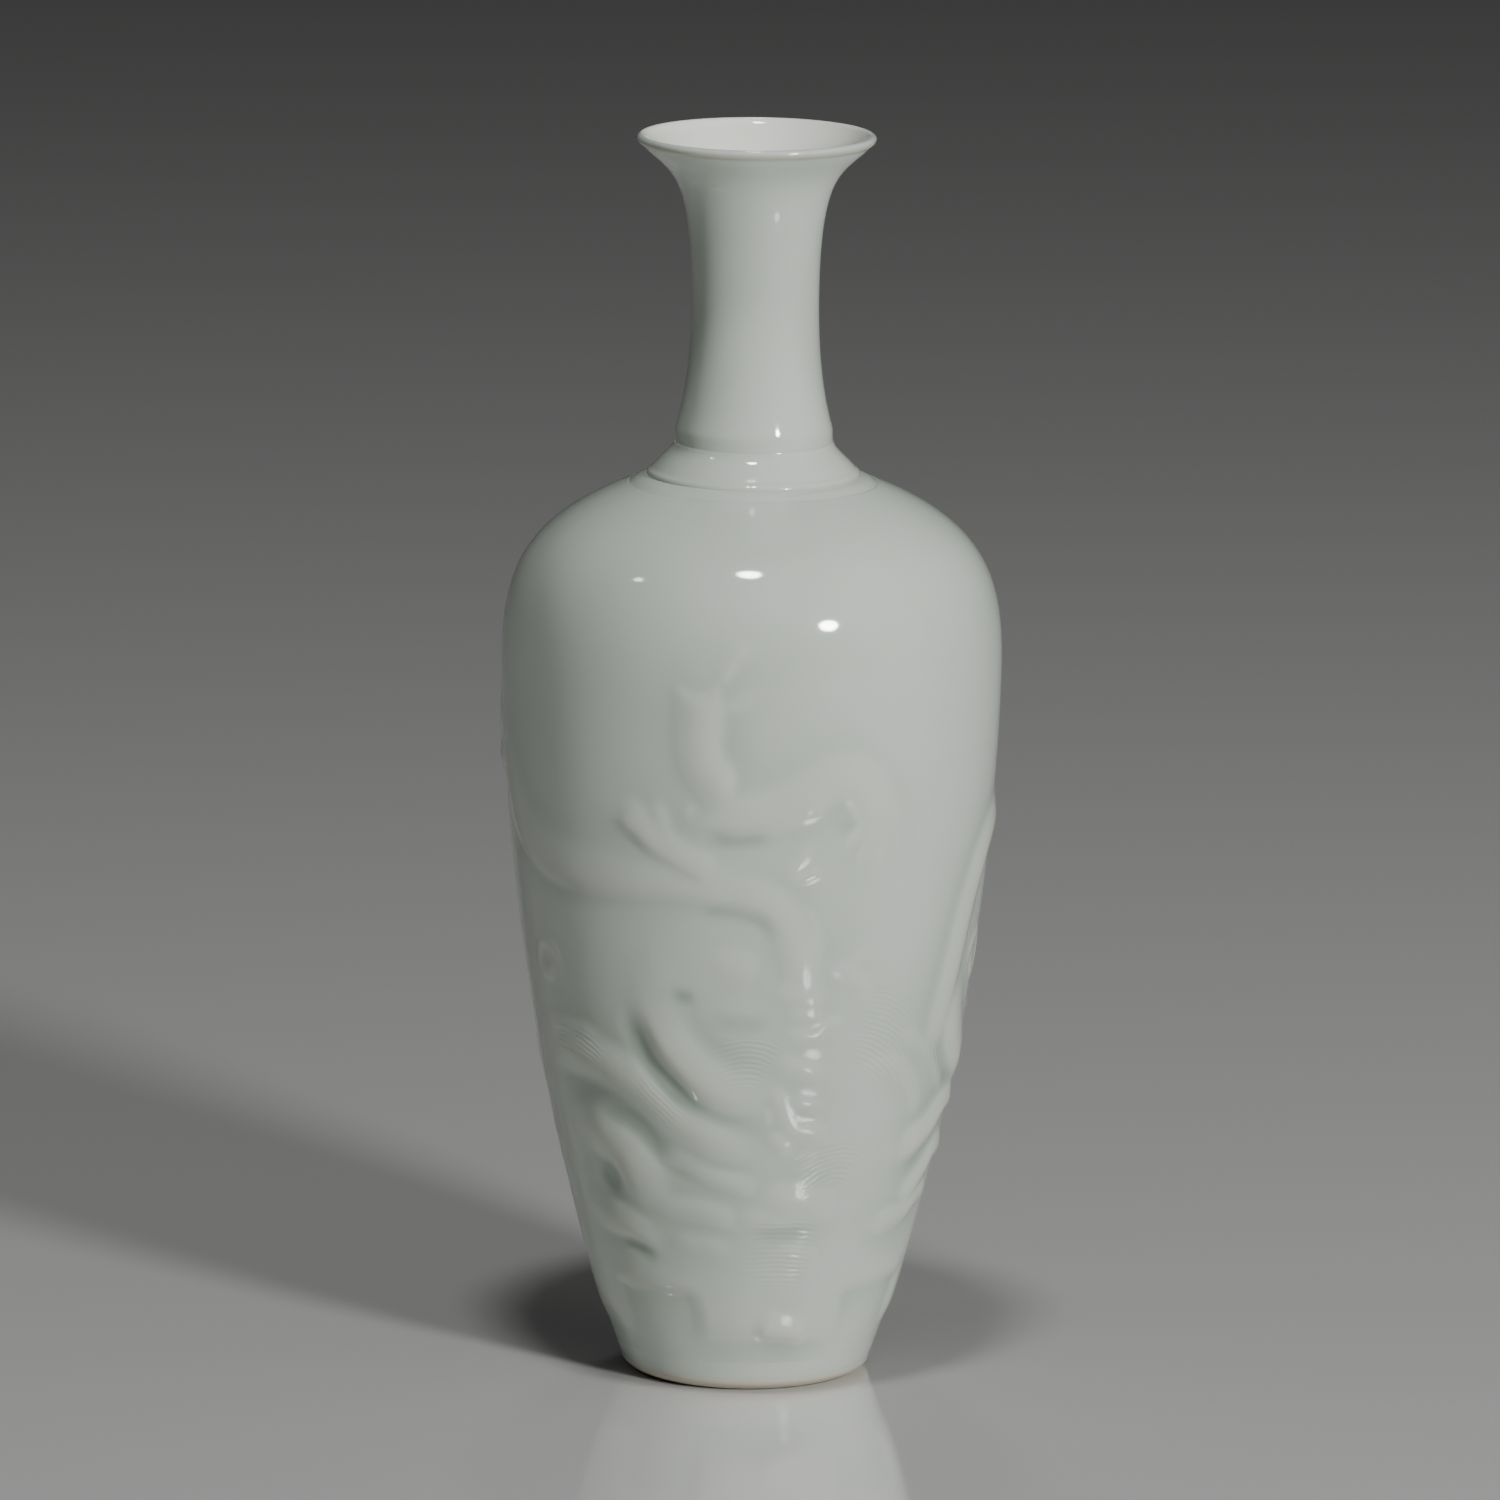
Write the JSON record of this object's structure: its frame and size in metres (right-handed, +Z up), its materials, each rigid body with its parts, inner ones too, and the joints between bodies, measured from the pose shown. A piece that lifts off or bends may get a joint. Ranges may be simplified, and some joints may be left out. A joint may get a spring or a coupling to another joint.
{
  "type": "amphora vase",
  "caption": "Tall porcelain vase with a narrow foot, full shoulder, waisted neck and trumpet mouth, under pale celadon glaze, with a dragon among waves in low relief.",
  "frame": {"origin": "on the pot's axis, at the plane that the foot ring stands on", "axes": "+Z up along the pot's axis, -Y towards the side with the front coil of the dragon, +X to the right of someone who looks at that side"},
  "size_m": [0.0827, 0.0828, 0.206],
  "materials": {
    "celadon_glaze": "glossy pale blue-green glaze over white porcelain",
    "bare_porcelain": "glazed outer edge over a bare tread, matt and slightly warm where it is unglazed",
    "fired_slip": "fired slip, matt white"
  },
  "bodies": {
    "root": {"base_disc": "celadon_glaze", "body_seam_slip": "fired_slip", "collar_band": "celadon_glaze", "dragon_fore_body": "celadon_glaze", "dragon_fore_leg": "celadon_glaze", "dragon_head": "celadon_glaze", "dragon_hind_body": "celadon_glaze", "dragon_hind_leg": "celadon_glaze", "dragon_mid_body": "celadon_glaze", "dragon_tail": "celadon_glaze", "flaming_pearl": "celadon_glaze", "foot_ring": "bare_porcelain", "lower_body": "celadon_glaze", "mouth_rim": "celadon_glaze", "neck": "celadon_glaze", "neck_seam_slip": "fired_slip", "shoulder_band": "celadon_glaze", "upper_body": "celadon_glaze", "wave_border": "celadon_glaze", "wave_curl_1": "celadon_glaze", "wave_curl_2": "celadon_glaze", "wave_curl_3": "celadon_glaze", "wave_curl_4": "celadon_glaze", "wave_curl_5": "celadon_glaze", "wave_curl_6": "celadon_glaze", "wave_curl_7": "celadon_glaze", "wave_curl_8": "celadon_glaze", "wave_swell_1": "celadon_glaze", "wave_swell_10": "celadon_glaze", "wave_swell_11": "celadon_glaze", "wave_swell_12": "celadon_glaze", "wave_swell_2": "celadon_glaze", "wave_swell_3": "celadon_glaze", "wave_swell_4": "celadon_glaze", "wave_swell_5": "celadon_glaze", "wave_swell_6": "celadon_glaze", "wave_swell_7": "celadon_glaze", "wave_swell_8": "celadon_glaze", "wave_swell_9": "celadon_glaze"}
  },
  "joints": []
}
